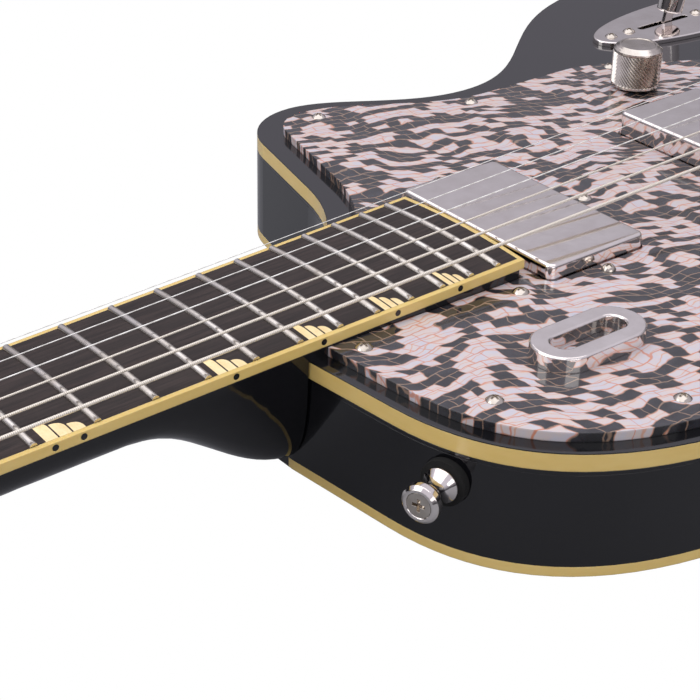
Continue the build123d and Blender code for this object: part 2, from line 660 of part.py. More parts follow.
def make_neck():
    foot = place_of(HEEL_FOOT_X)
    start = place_of(HEEL_START_X)
    seam = place_of(SHOULDER_X)
    steps = 6
    shaft_end = start - 8
    shaft = loft([neck_section(place, neck_depth(place)) for place in (0, start / 2, shaft_end)])
    sections = [neck_section(shaft_end, neck_depth(shaft_end))]
    for step in range(steps + 1):
        place = start + (foot - start) * step / steps
        sections.append(neck_section(place, neck_depth(place), step / steps))
    sections.append(neck_section(seam + 2, neck_depth(seam + 2), 1.0))
    heel = loft(sections) - (NECK_FRAME.inverse() * block(SHOULDER_X, 0, -60, 60, -60, 120))
    tongue_end = place_of(POCKET_END_X)
    tongue = Pos(0, 0, -BOARD_THICKNESS) * extrude(board_plan(seam - 1, tongue_end), -12)
    half = TENON_WIDTH / 2
    tenon = block(SHOULDER_X - 1, POCKET_END_X, -half, half, POCKET_FLOOR, FACE + 4)
    under = Pos(0, 0, -BOARD_THICKNESS) * extrude(board_plan(seam - 40, tongue_end + 40, 20), -100)
    over_face = block(SHOULDER_X, 0, -60, 60, FACE, FACE + 40)
    before_body = block(SHOULDER_X - 20, SHOULDER_X, -60, 60, 0, FACE + 40)
    wood = NECK_FRAME * shaft + NECK_FRAME * heel
    wood += (NECK_FRAME * tongue) & over_face
    wood += (tenon & (NECK_FRAME * under)) - before_body
    head = HEAD_FRAME * Pos(0, 0, -HEAD_THICKNESS) * extrude(head_plan(), HEAD_THICKNESS)
    nape = loft([neck_section(0, NECK_DEPTH_NUT), neck_section(-NAPE_REACH, NAPE_DEPTH)])
    nape = NECK_FRAME * nape - HEAD_FRAME * block(-60, 0, -40, 40, 0, 30)
    over_nut = NECK_FRAME * block(-NUT_THICKNESS, 30, -40, 40, -BOARD_THICKNESS, 30)
    behind = NECK_FRAME * block(0.0, 30, -40, 40, -40, 30)
    wood += (head - over_nut - behind) + nape
    loose = ROD_RADIUS + 0.2
    channel = block(-5, ROD_LENGTH + 1, -loose, loose, -ROD_DEPTH - loose, 0)
    pocket = block(-28, -4, -6, 6, -ROD_DEPTH - 4.5, 8)
    wood -= NECK_FRAME * Pos(0, 0, -BOARD_THICKNESS) * channel
    wood -= NECK_FRAME * Pos(0, 0, -BOARD_THICKNESS) * pocket
    for place, side, _ in tuner_sites():
        wood -= HEAD_FRAME * post(place, side, -HEAD_THICKNESS - 1, BUSHING_RADIUS + SEAT_CLEARANCE, 30)
    for place, side in COVER_SCREWS:
        wood -= HEAD_FRAME * screw_hole(place, side, COVER_THICKNESS)
    return wood


# ------------------------------------------------------------------ fingerboard
CROWN_AXIS = Axis((0, 0, BOARD_CROWN - BOARD_RADIUS), (1, 0, 0))


def crown_roll(depth=0.0):
    """The round bar whose top is the fingerboard's crown, or lies this far under it."""
    roll = Pos(BOARD_LENGTH / 2, 0, BOARD_CROWN - BOARD_RADIUS) * Rot(0, 90, 0)
    return roll * Cylinder(BOARD_RADIUS - depth, BOARD_LENGTH + 60)


def crown_sweep(profile, half):
    """A profile carried across the crown, this far to each side."""
    angle = math.degrees(math.asin(half / BOARD_RADIUS))
    return revolve(profile.rotate(CROWN_AXIS, -angle), CROWN_AXIS, 2 * angle)


def fret_profile(place, tang_only):
    """A fret's section: a low round crown on a thin tang."""
    half = FRET_WIDTH / 2
    tang = FRET_TANG / 2
    up = Plane((place, 0, BOARD_CROWN), x_dir=(1, 0, 0), z_dir=(0, -1, 0))
    if tang_only:
        slot = tang + 0.02
        deep = FRET_TANG_DEPTH + 0.1
        return up * make_face(Polyline((-slot, -deep), (slot, -deep), (slot, 3), (-slot, 3), close=True))
    rise = FRET_HEIGHT * 4 / 3
    crown = Bezier((half, 0), (half * 0.9, rise), (-half * 0.9, rise), (-half, 0))
    foot = Polyline(
        (-half, 0), (-tang, 0), (-tang, -FRET_TANG_DEPTH), (tang, -FRET_TANG_DEPTH), (tang, 0), (half, 0)
    )
    return up * Pos(0, 0.01) * make_face(Curve() + [crown, foot])


def fret_half(place):
    return board_half(place) - BOARD_BINDING - SEAT_CLEARANCE


def marker_place(number):
    """The middle of the space before a fret."""
    return (fret_place(number - 1) + fret_place(number)) / 2


def inlay_bars():
    """Round-shouldered bars of falling length beside the low string, in each marked space."""
    bars = []
    for number in MARKED_FRETS:
        middle = marker_place(number)
        edge = -board_half(middle) + BOARD_BINDING
        space = fret_place(number) - fret_place(number - 1) - FRET_WIDTH
        pitch = INLAY_SHARE * space / len(INLAY_LENGTHS)
        for step, length in enumerate(INLAY_LENGTHS):
            start = middle + (step - len(INLAY_LENGTHS) / 2) * pitch + INLAY_GAP / 2
            end = start + pitch - INLAY_GAP
            tip = edge + length
            foot = Polyline((start, tip), (start, edge - 1), (end, edge - 1), (end, tip - INLAY_FALL))
            shoulder = Bezier((end, tip - INLAY_FALL), (end, tip - 0.3), (start + 1, tip), (start, tip))
            plan = Pos(0, 0, BOARD_CROWN - BOARD_THICKNESS) * make_face(Curve() + [foot, shoulder])
            bars.append(extrude(plan, 2 * BOARD_THICKNESS))
    return bars


def side_dot_places():
    places = [marker_place(number) for number in MARKED_FRETS if number != 12]
    return places + [marker_place(12) - OCTAVE_DOT_OFFSET, marker_place(12) + OCTAVE_DOT_OFFSET]


def make_fingerboard():
    slab = Pos(0, 0, -BOARD_THICKNESS) * extrude(board_plan(0, BOARD_LENGTH), BOARD_THICKNESS + 3)
    slab = slab & crown_roll()
    inner = extrude(
        board_plan(-5, BOARD_LENGTH - BOARD_BINDING, -BOARD_BINDING), 2 * BOARD_THICKNESS + 6
    )
    inner = Pos(0, 0, -BOARD_THICKNESS - 3) * inner
    binding = slab - inner
    board = slab & inner
    inlays = [(bar & board) - crown_roll(INLAY_DEPTH) for bar in inlay_bars()]
    for inlay in inlays:
        board -= inlay
    frets = []
    for number in range(1, FRET_COUNT + 1):
        place = fret_place(number)
        frets.append(crown_sweep(fret_profile(place, False), fret_half(place)))
        board -= crown_sweep(fret_profile(place, True), fret_half(place) + SEAT_CLEARANCE)
    dots = []
    for place in side_dot_places():
        edge = -board_half(place)
        dot = Pos(place, edge, -DOT_DROP) * Rot(90, 0, 0) * Cylinder(DOT_RADIUS, 2 * DOT_DEPTH)
        dots.append(dot & binding)
        binding -= dot
    return board, binding, frets, inlays, dots


# ------------------------------------------------------------------ strings
def string_side(number, spread):
    """Distance of a string from the centre line, the low string first."""
    return spread * (number / 5 - 0.5)


def nut_string_point(number):
    """A string's centre where it leaves the nut for the head, in the neck's frame."""
    lift = STRING_LIFT_NUT + STRING_DIAMETERS[number] / 2
    return Vector(-NUT_THICKNESS + 0.5, string_side(number, STRING_SPREAD_NUT), lift)


def string_end(number):
    """A string's last point, just clear of the windings on its post, in the head's frame."""
    place, side, way = tuner_sites()[number]
    clear = WINDING_RADIUS + STRING_DIAMETERS[number] / 2 + STRING_GAP
    return Vector(place, side - way * clear, WINDING_HEIGHT)


def point_at(frame, point):
    return (frame * Pos(*point)).position


def bar_between(start, end, radius):
    """A round bar between two points."""
    run = end - start
    return Plane(origin=start, z_dir=run) * Cylinder(
        radius, run.length, align=(Align.CENTER, Align.CENTER, Align.MIN)
    )


def saddle_top(number):
    return STRING_TOP - STRING_DIAMETERS[number] / 2


def string_points(number):
    side = string_side(number, STRING_SPREAD_BRIDGE)
    tail_z = FACE + TAILPIECE_LIFT + TAILPIECE_HEIGHT * 0.62
    hidden = TAILPIECE_X - TAILPIECE_WIDTH / 2 + 5
    return [
        Vector(hidden, side, tail_z),
        Vector(0, side, STRING_TOP + 0.08),
        point_at(NECK_FRAME, nut_string_point(number)),
        point_at(HEAD_FRAME, string_end(number)),
    ]


def make_string(number):
    radius = STRING_DIAMETERS[number] / 2
    points = string_points(number)
    shape = bar_between(points[0], points[1], radius)
    for start, end in zip(points[1:-1], points[2:]):
        shape += bar_between(start, end, radius)
        shape += Pos(*start) * Sphere(radius)
    return shape


def make_nut():
    half = NUT_WIDTH / 2
    blank = block(-NUT_THICKNESS, 0, -half, half, -BOARD_THICKNESS, NUT_HEIGHT + 0.6)
    roll = Pos(0, 0, NUT_HEIGHT + 0.6 - BOARD_RADIUS) * Rot(0, 90, 0) * Cylinder(BOARD_RADIUS, 60)
    blank = blank & roll
    for number, diameter in enumerate(STRING_DIAMETERS):
        side = string_side(number, STRING_SPREAD_NUT)
        wide = diameter / 2 + 0.08
        blank -= block(-9, 3, side - wide, side + wide, STRING_LIFT_NUT - 0.25, 9)
    return blank


# ------------------------------------------------------------------ bridge and tailpiece
BRIDGE_BASE = STRING_TOP - SADDLE_STAND - BRIDGE_HEIGHT


def make_bridge_body():
    plan = SlotOverall(BRIDGE_LENGTH, BRIDGE_WIDTH, rotation=90)
    body = Pos(0, 0, BRIDGE_BASE) * extrude(plan, BRIDGE_HEIGHT)
    reach = BRIDGE_POST_SPAN / 2 - 7.0
    body -= block(-SADDLE_LENGTH / 2, SADDLE_LENGTH / 2, -reach, reach, BRIDGE_BASE + 2, STRING_TOP)
    for x, y in BRIDGE_SITES:
        body -= post(x, y, BRIDGE_BASE - 1, STUD_RADIUS + SEAT_CLEARANCE, 7.0)
    for number in range(6):
        body -= saddle_screw_way(number, SADDLE_SCREW_RADIUS + SEAT_CLEARANCE)
    return chamfer(body.faces().sort_by(Axis.Z)[-1].outer_wire().edges(), 1.2)


def saddle_screw_way(number, radius):
    """The line of one saddle's adjusting screw, through both walls of the bridge."""
    side = string_side(number, STRING_SPREAD_BRIDGE)
    height = BRIDGE_BASE + BRIDGE_HEIGHT - SADDLE_SCREW_DROP
    start = Vector(-BRIDGE_WIDTH / 2 - 0.6, side, height)
    return bar_between(start, start + Vector(BRIDGE_WIDTH + 1.2, 0, 0), radius)


def make_saddle(number):
    side = string_side(number, STRING_SPREAD_BRIDGE)
    half = SADDLE_WIDTH / 2
    low = BRIDGE_BASE + 2 + SEAT_CLEARANCE
    deep = SADDLE_LENGTH / 2 - SEAT_CLEARANCE
    top = saddle_top(number)
    shoulder = BRIDGE_BASE + BRIDGE_HEIGHT - 0.5
    peak = [(0.4, top), (-0.4, top)]
    outline = Polyline((-deep, low), (deep, low), (deep, shoulder), *peak, (-deep, shoulder), close=True)
    block_shape = Plane.XZ.offset(-side - half) * extrude(make_face(outline), SADDLE_WIDTH)
    return block_shape - saddle_screw_way(number, SADDLE_SCREW_RADIUS + SEAT_CLEARANCE)


def make_stud(x, y, head_z, radius):
    """A threaded stud in its pressed insert."""
    reach = INSERT_DEPTH + GUARD_THICKNESS + 0.6
    insert = post(x, y, FACE - INSERT_DEPTH, INSERT_RADIUS - SEAT_CLEARANCE, reach)
    return insert + post(x, y, FACE - INSERT_DEPTH, radius, head_z - FACE + INSERT_DEPTH)


def make_wheel(x, y):
    wheel = post(x, y, BRIDGE_BASE - WHEEL_THICKNESS - 0.05, WHEEL_RADIUS, WHEEL_THICKNESS)
    return wheel - post(x, y, 0, STUD_RADIUS + SEAT_CLEARANCE, FACE + 60)


def make_tailpiece():
    low = FACE + TAILPIECE_LIFT
    plan = SlotOverall(TAILPIECE_LENGTH, TAILPIECE_WIDTH, rotation=90)
    bar = Pos(TAILPIECE_X, 0, low) * extrude(plan, TAILPIECE_HEIGHT)
    bar = fillet(bar.faces().sort_by(Axis.Z)[-1].outer_wire().edges(), 3.5)
    for x, y in TAILPIECE_SITES:
        bar -= post(x, y, low - 1, TAIL_STUD_RADIUS + SEAT_CLEARANCE, 40)
    hole_z = low + TAILPIECE_HEIGHT * 0.62
    for number, diameter in enumerate(STRING_DIAMETERS):
        side = string_side(number, STRING_SPREAD_BRIDGE)
        start = Vector(TAILPIECE_X - TAILPIECE_WIDTH, side, hole_z)
        bar -= bar_between(start, start + Vector(2 * TAILPIECE_WIDTH, 0, 0), diameter / 2 + 1.1)
    return bar


def make_tail_stud(x, y):
    low = FACE + TAILPIECE_LIFT
    stud = make_stud(x, y, low + TAILPIECE_HEIGHT + 0.1, TAIL_STUD_RADIUS - 0.5)
    head = Pos(x, y, low + TAILPIECE_HEIGHT + 0.02) * dome(7.0, 2.6)
    return stud + head - block(x - 0.8, x + 0.8, y - 6, y + 6, low + TAILPIECE_HEIGHT + 1.4, 90)


# ------------------------------------------------------------------ pickups
def make_pickup_cover(x, top):
    outer = RectangleRounded(PICKUP_WIDTH, PICKUP_LENGTH, PICKUP_CORNER)
    inner = RectangleRounded(
        PICKUP_WIDTH - 2 * PICKUP_SHELL, PICKUP_LENGTH - 2 * PICKUP_SHELL, PICKUP_CORNER - PICKUP_SHELL
    )
    low = FACE + top - PICKUP_HEIGHT
    shell = Pos(x, 0, low) * extrude(outer, PICKUP_HEIGHT)
    shell = fillet(shell.faces().sort_by(Axis.Z)[-1].outer_wire().edges(), 1.2)
    return shell - Pos(x, 0, low - 1) * extrude(inner, PICKUP_HEIGHT - PICKUP_SHELL + 1)


def make_coils(x, top):
    """Two bobbins side by side under the cover, each a round-ended block on a magnet's width."""
    coils = []
    width = (PICKUP_WIDTH - 2 * PICKUP_SHELL) / 2 - 0.6
    for way in (-1, 1):
        plan = SlotOverall(PICKUP_LENGTH - 2 * PICKUP_SHELL - 1.0, width, rotation=90)
        low = FACE + top - PICKUP_HEIGHT + 0.1
        height = PICKUP_HEIGHT - PICKUP_SHELL - 0.2
        coils.append(Pos(x + way * (width / 2 + 0.2), 0, low) * extrude(plan, height))
    return coils


def make_pickup_base(x, top):
    """The plate that closes the pickup from below, with an ear at each end for its height screw."""
    z = FACE + top - PICKUP_HEIGHT - PICKUP_BASE
    plate = RectangleRounded(PICKUP_WIDTH - 0.4, PICKUP_LENGTH - 0.4, PICKUP_CORNER)
    ears = RectangleRounded(12, 2 * EAR_HALF, 2)
    base = Pos(x, 0, z) * extrude(plate + ears, PICKUP_BASE)
    for y in (PICKUP_SCREW_Y, -PICKUP_SCREW_Y):
        base -= post(x, y, z - 1, PICKUP_SCREW_RADIUS + SEAT_CLEARANCE, PICKUP_BASE + 2)
    return base


def make_height_screw(x, y):
    head = Pos(x, y, GUARD_TOP) * (dome(2.4, 1.8) - cross_recess(2.4, 1.0, 1.8))
    depth = PICKUP_CAVITY_DEPTH + GUARD_THICKNESS - 3
    return head + post(x, y, GUARD_TOP - depth, PICKUP_SCREW_RADIUS, depth)


# ------------------------------------------------------------------ controls
def make_knob(x, y, base):
    low = base + KNOB_GAP
    knob = post(x, y, low, KNOB_RADIUS, KNOB_HEIGHT)
    dish = post(x, y, low + KNOB_HEIGHT - 0.7, KNOB_RADIUS - 2.6, 2)
    knob -= dish - post(x, y, low, KNOB_RADIUS - 3.4, 40)
    return knob - post(x, y, low - 1, SHAFT_RADIUS + 0.01, KNOB_HEIGHT - 2)


def make_shaft(x, y, base):
    return post(x, y, base - POT_BUSH_DROP, SHAFT_RADIUS, POT_BUSH_DROP + KNOB_GAP + KNOB_HEIGHT - 4)


def make_pot(x, y, plate_low, plate_top):
    """A potentiometer's can and lugs below the plate, with its bush through it."""
    can = post(x, y, plate_low - POT_HEIGHT - 0.6, POT_RADIUS, POT_HEIGHT)
    lugs = block(x - 5, x + 5, y - POT_RADIUS - 1, y, plate_low - 2.6, plate_low - 1.6)
    bush = post(x, y, plate_low - 1.0, POT_BUSH_RADIUS, plate_top - plate_low + 1.6)
    way = post(x, y, plate_top - POT_BUSH_DROP - 0.2, SHAFT_RADIUS + TURN_CLEARANCE, 40)
    return can + lugs + bush - way


def make_control_plate():
    plan = Ellipse(PLATE_LENGTH / 2, PLATE_WIDTH / 2)
    middle = (PLATE_START_X + PLATE_END_X) / 2
    plate = Pos(middle, PLATE_Y, FACE) * extrude(plan, PLATE_THICKNESS)
    plate = fillet(plate.faces().sort_by(Axis.Z)[-1].outer_wire().edges(), 0.6)
    slot = SlotOverall(SWITCH_SLOT, 2 * SWITCH_SLOT_HALF)
    plate -= Pos(SWITCH_X, PLATE_Y, FACE - 1) * extrude(slot, PLATE_THICKNESS + 2)
    for way in (-1, 1):
        x = SWITCH_X + way * SWITCH_SCREW_SPAN / 2
        plate -= post(x, PLATE_Y, FACE - 1, SCREW_SHANK_RADIUS + SEAT_CLEARANCE, PLATE_THICKNESS + 2)
    plate -= post(TONE_X, PLATE_Y, FACE - 1, POT_BUSH_RADIUS + SEAT_CLEARANCE, PLATE_THICKNESS + 2)
    for x, y in PLATE_SCREWS:
        plate -= screw_hole(x, y, PLATE_TOP)
    return plate


def switch_screw(way):
    x = SWITCH_X + way * SWITCH_SCREW_SPAN / 2
    head = Pos(x, PLATE_Y, PLATE_TOP) * (dome(2.7, 1.4) - cross_recess(2.7, 0.8, 1.4))
    return head + post(x, PLATE_Y, PLATE_TOP - 6, SCREW_SHANK_RADIUS, 6)


def make_switch_frame():
    """The switch under its plate: a folded bracket, a contact wafer and the pivot's two cheeks."""
    half = SWITCH_SCREW_SPAN / 2 + 3.5
    low = FACE - 1.2
    bracket = block(SWITCH_X - half, SWITCH_X + half, PLATE_Y - 5, PLATE_Y + 5, low, FACE)
    gap = SWITCH_SLOT / 2 + 1
    bracket -= block(SWITCH_X - gap, SWITCH_X + gap, PLATE_Y - 2.2, PLATE_Y + 2.2, low - 1, FACE + 1)
    for way in (-1, 1):
        x = SWITCH_X + way * SWITCH_SCREW_SPAN / 2
        bracket -= post(x, PLATE_Y, low - 1, SCREW_SHANK_RADIUS + SEAT_CLEARANCE, 4)
    cheeks = []
    for way in (-1, 1):
        near = PLATE_Y + way * 2.2
        far = PLATE_Y + way * 4.4
        cheeks.append(block(SWITCH_X - 8, SWITCH_X + 8, min(near, far), max(near, far), low - 14, low))
    wafer = block(SWITCH_X - 16, SWITCH_X + 16, PLATE_Y + 4.4, PLATE_Y + 6.2, low - 18, low)
    frame = union([bracket, wafer] + cheeks)
    pivot = Pos(SWITCH_X, PLATE_Y, FACE - LEVER_PIVOT_DROP) * Rot(90, 0, 0) * Cylinder(1.3, 16)
    return frame - pivot


def leaning(shape):
    """A piece of the switch's arm, turned about the pivot to one of its throws."""
    turn = Pos(SWITCH_X, PLATE_Y, FACE - LEVER_PIVOT_DROP) * Rot(0, LEVER_LEAN, 0)
    return turn * Pos(-SWITCH_X, -PLATE_Y, LEVER_PIVOT_DROP - FACE) * shape


def make_switch_lever():
    """The flat lever on its pivot pin, drawn upright."""
    low = FACE - LEVER_PIVOT_DROP
    high = PLATE_TOP + SWITCH_TIP_HEIGHT - 3
    blade = block(
        SWITCH_X - LEVER_HALF_WIDTH, SWITCH_X + LEVER_HALF_WIDTH, PLATE_Y - LEVER_HALF_THICKNESS,
        PLATE_Y + LEVER_HALF_THICKNESS, low, high
    )
    hub = Pos(SWITCH_X, PLATE_Y, low) * Rot(90, 0, 0) * Cylinder(3.2, 2 * LEVER_HALF_THICKNESS)
    pin = Pos(SWITCH_X, PLATE_Y, low) * Rot(90, 0, 0) * Cylinder(1.3 - TURN_CLEARANCE, 8.6)
    return blade + hub + pin


def make_switch_tip():
    """A round barrel pressed on the lever's end."""
    low = PLATE_TOP + 4.5
    barrel = post(SWITCH_X, PLATE_Y, low, 5.5, SWITCH_TIP_HEIGHT - 4.5)
    barrel = fillet(barrel.edges().filter_by(GeomType.CIRCLE), 1.0)
    return leaning(barrel - make_switch_lever())


# ------------------------------------------------------------------ jack and strap buttons
def make_jack_cup():
    cup = post(0, 0, 0, CUP_FLANGE_RADIUS, 1.6) + post(0, 0, -CUP_DEPTH, CUP_RADIUS, CUP_DEPTH)
    cup = chamfer(cup.faces().sort_by(Axis.Z)[-1].outer_wire().edges(), 0.7)
    cup -= post(0, 0, -CUP_DEPTH + 1.5, CUP_RADIUS - 1.4, CUP_DEPTH + 9)
    return JACK_FRAME * (cup - post(0, 0, -CUP_DEPTH - 1, JACK_BUSH_RADIUS + SEAT_CLEARANCE, 9))


def make_jack():
    """The socket: a bush through the cup's floor, its nut and washer, and the contact frame behind."""
    floor_top = -CUP_DEPTH + 1.5
    bush = post(0, 0, JACK_MOUTH - JACK_BORE_LENGTH, JACK_BUSH_RADIUS, JACK_BORE_LENGTH)
    nut = Pos(0, 0, floor_top + 0.7) * extrude(RegularPolygon(7.0, 6), 2.4)
    washer = post(0, 0, floor_top, 7.4, 0.7)
    flange = post(0, 0, -CUP_DEPTH - 3.2, 8.0, 3.2)
    leaf = block(-8, -6.4, -3, 3, -CUP_DEPTH - 24, -CUP_DEPTH - 3)
    hook = block(-8, -4.2, -3, 3, -CUP_DEPTH - 24, -CUP_DEPTH - 22.6)
    whole = union([bush, nut, washer, flange, leaf, hook])
    return JACK_FRAME * (whole - post(0, 0, -60, JACK_BORE_RADIUS, 90))


def make_strap_button(frame):
    base = FELT_THICKNESS
    top = base + STRAP_STAND
    foot_top = base + 1.2
    neck_top = top - 4.0
    foot = Polyline((0, base), (STRAP_FOOT_RADIUS, base), (STRAP_FOOT_RADIUS, foot_top))
    neck = Spline(
        (STRAP_FOOT_RADIUS, foot_top), (STRAP_WAIST_RADIUS, base + 5.5), (STRAP_HEAD_RADIUS - 1, neck_top),
        tangents=((-1, 1), (1, 1)),
    )
    head = Polyline(
        (STRAP_HEAD_RADIUS - 1, neck_top), (STRAP_HEAD_RADIUS, neck_top + 0.9),
        (STRAP_HEAD_RADIUS, top - 1), (STRAP_HEAD_RADIUS - 1, top), (0, top), (0, base),
    )
    turned = revolve(Plane.XZ * make_face(Curve() + [foot, neck, head]), Axis.Z)
    recess = Pos(0, 0, top - 2.6) * Cone(
        STRAP_SCREW_RADIUS + 0.2, 4.2, 2.8, align=(Align.CENTER, Align.CENTER, Align.MIN)
    )
    bore = post(0, 0, 0, STRAP_SCREW_RADIUS + SEAT_CLEARANCE, 40)
    return frame * (turned - recess - bore)


def make_strap_screw(frame):
    top = FELT_THICKNESS + STRAP_STAND
    head = Pos(0, 0, top - 2.5) * Cone(
        STRAP_SCREW_RADIUS, 3.8, 2.3, align=(Align.CENTER, Align.CENTER, Align.MIN)
    )
    shank = post(0, 0, -25, STRAP_SCREW_RADIUS, top + 23.5)
    return frame * (head + shank - cross_recess(3.6, 1.6, top - 0.2))


def make_felt(frame):
    felt = post(0, 0, 0, FELT_RADIUS, FELT_THICKNESS)
    return frame * (felt - post(0, 0, -1, STRAP_SCREW_RADIUS + SEAT_CLEARANCE, 9))


# ------------------------------------------------------------------ ornament and cover of the rod


def make_ornament():
    """A plain polished oval ring."""
    length, width = ORNAMENT_SIZE
    ring = SlotOverall(length, width) - SlotOverall(length - 2 * ORNAMENT_BAND, width - 2 * ORNAMENT_BAND)
    ring = extrude(ring, ORNAMENT_LIFT)
    return Pos(*ORNAMENT_PLACE, GUARD_TOP) * chamfer(ring.faces().sort_by(Axis.Z)[-1].edges(), 0.5)


def make_rod_cover():
    half = 14.0
    edges = [
        Line((-3, half), (-3, -half)),
        Bezier((-3, -half), (-22, -half), (-26, -5.5), (-COVER_LENGTH - 1, -5.5)),
        Bezier((-COVER_LENGTH - 1, -5.5), (-COVER_LENGTH - 7, -5.5), (-COVER_LENGTH - 7, 5.5),
               (-COVER_LENGTH - 1, 5.5)),
        Bezier((-COVER_LENGTH - 1, 5.5), (-26, 5.5), (-22, half), (-3, half)),
    ]
    cover = extrude(make_face(Curve() + edges), COVER_THICKNESS)
    for place, side in COVER_SCREWS:
        cover -= screw_hole(place, side, COVER_THICKNESS)
    return HEAD_FRAME * cover


def make_rod():
    height = -BOARD_THICKNESS - ROD_DEPTH
    rod = Pos(-4, 0, height) * Rot(0, 90, 0) * Cylinder(
        ROD_RADIUS, ROD_LENGTH + 4, align=(Align.CENTER, Align.CENTER, Align.MIN)
    )
    nut = Pos(-18, 0, height) * Rot(0, 90, 0) * extrude(RegularPolygon(3.8, 6), 15)
    return NECK_FRAME * (rod + nut)


# ------------------------------------------------------------------ tuners
def make_case(place, side, way):
    length, width, depth = TUNER_CASE
    low = -HEAD_THICKNESS - depth
    x = length / 2
    y = width / 2
    case = block(place - x, place + x, side - y, side + y, low, -HEAD_THICKNESS)
    case = fillet(case.edges().filter_by(Axis.Z), 2.0)
    case = fillet(case.faces().sort_by(Axis.Z)[0].edges(), 1.0)
    case -= post(place, side, low + 2, POST_RADIUS + TURN_CLEARANCE, 40)
    bore = Vector(place, side + way * (POST_RADIUS + 1.4), button_height())
    case -= bar_between(bore, bore + Vector(0, way * 20, 0), TUNER_SHAFT_RADIUS + TURN_CLEARANCE)
    return HEAD_FRAME * case


def button_height():
    return -HEAD_THICKNESS - TUNER_CASE[2] / 2


def make_bushing(place, side):
    tube = post(place, side, -HEAD_THICKNESS, BUSHING_RADIUS, HEAD_THICKNESS)
    washer = post(place, side, 0, 6.6, 0.8)
    nut = Pos(place, side, 0.8) * extrude(RegularPolygon(5.8, 6), 1.6)
    return HEAD_FRAME * (tube + washer + nut - post(place, side, -40, POST_RADIUS + TURN_CLEARANCE, 80))


def make_post(place, side):
    low = -HEAD_THICKNESS - TUNER_CASE[2] + 2.2
    shape = post(place, side, low, POST_RADIUS, POST_HEIGHT - low)
    windings = post(place, side, WINDING_HEIGHT - 1.8, WINDING_RADIUS, 3.6)
    cap = post(place, side, POST_HEIGHT - 2.2, POST_RADIUS + 0.5, 2.2)
    return HEAD_FRAME * (shape + windings + fillet(cap.edges().sort_by(Axis.Z)[-1], 0.8))


def make_button(place, side, way):
    width = TUNER_CASE[1] / 2
    start = Vector(place, side + way * (POST_RADIUS + 1.5), button_height())
    reach = width - POST_RADIUS - 1.5 + TUNER_NECK
    shaft = bar_between(start, start + Vector(0, way * (reach + 2), 0), TUNER_SHAFT_RADIUS)
    collar_start = Vector(place, side + way * (width + 0.3), button_height())
    collar = bar_between(collar_start, collar_start + Vector(0, way * (TUNER_NECK - 0.3), 0), 3.2)
    length, deep, thick = TUNER_BUTTON
    middle = side + way * (width + TUNER_NECK + deep / 2)
    button = Pos(place, middle, button_height()) * Box(length, deep, thick)
    button = fillet(button.edges().filter_by(Axis.Z), 4.0)
    ends = button.faces().sort_by(Axis.Z)
    button = fillet(ends[-1].edges() + ends[0].edges(), 2.0)
    return HEAD_FRAME * (button + collar + shaft)


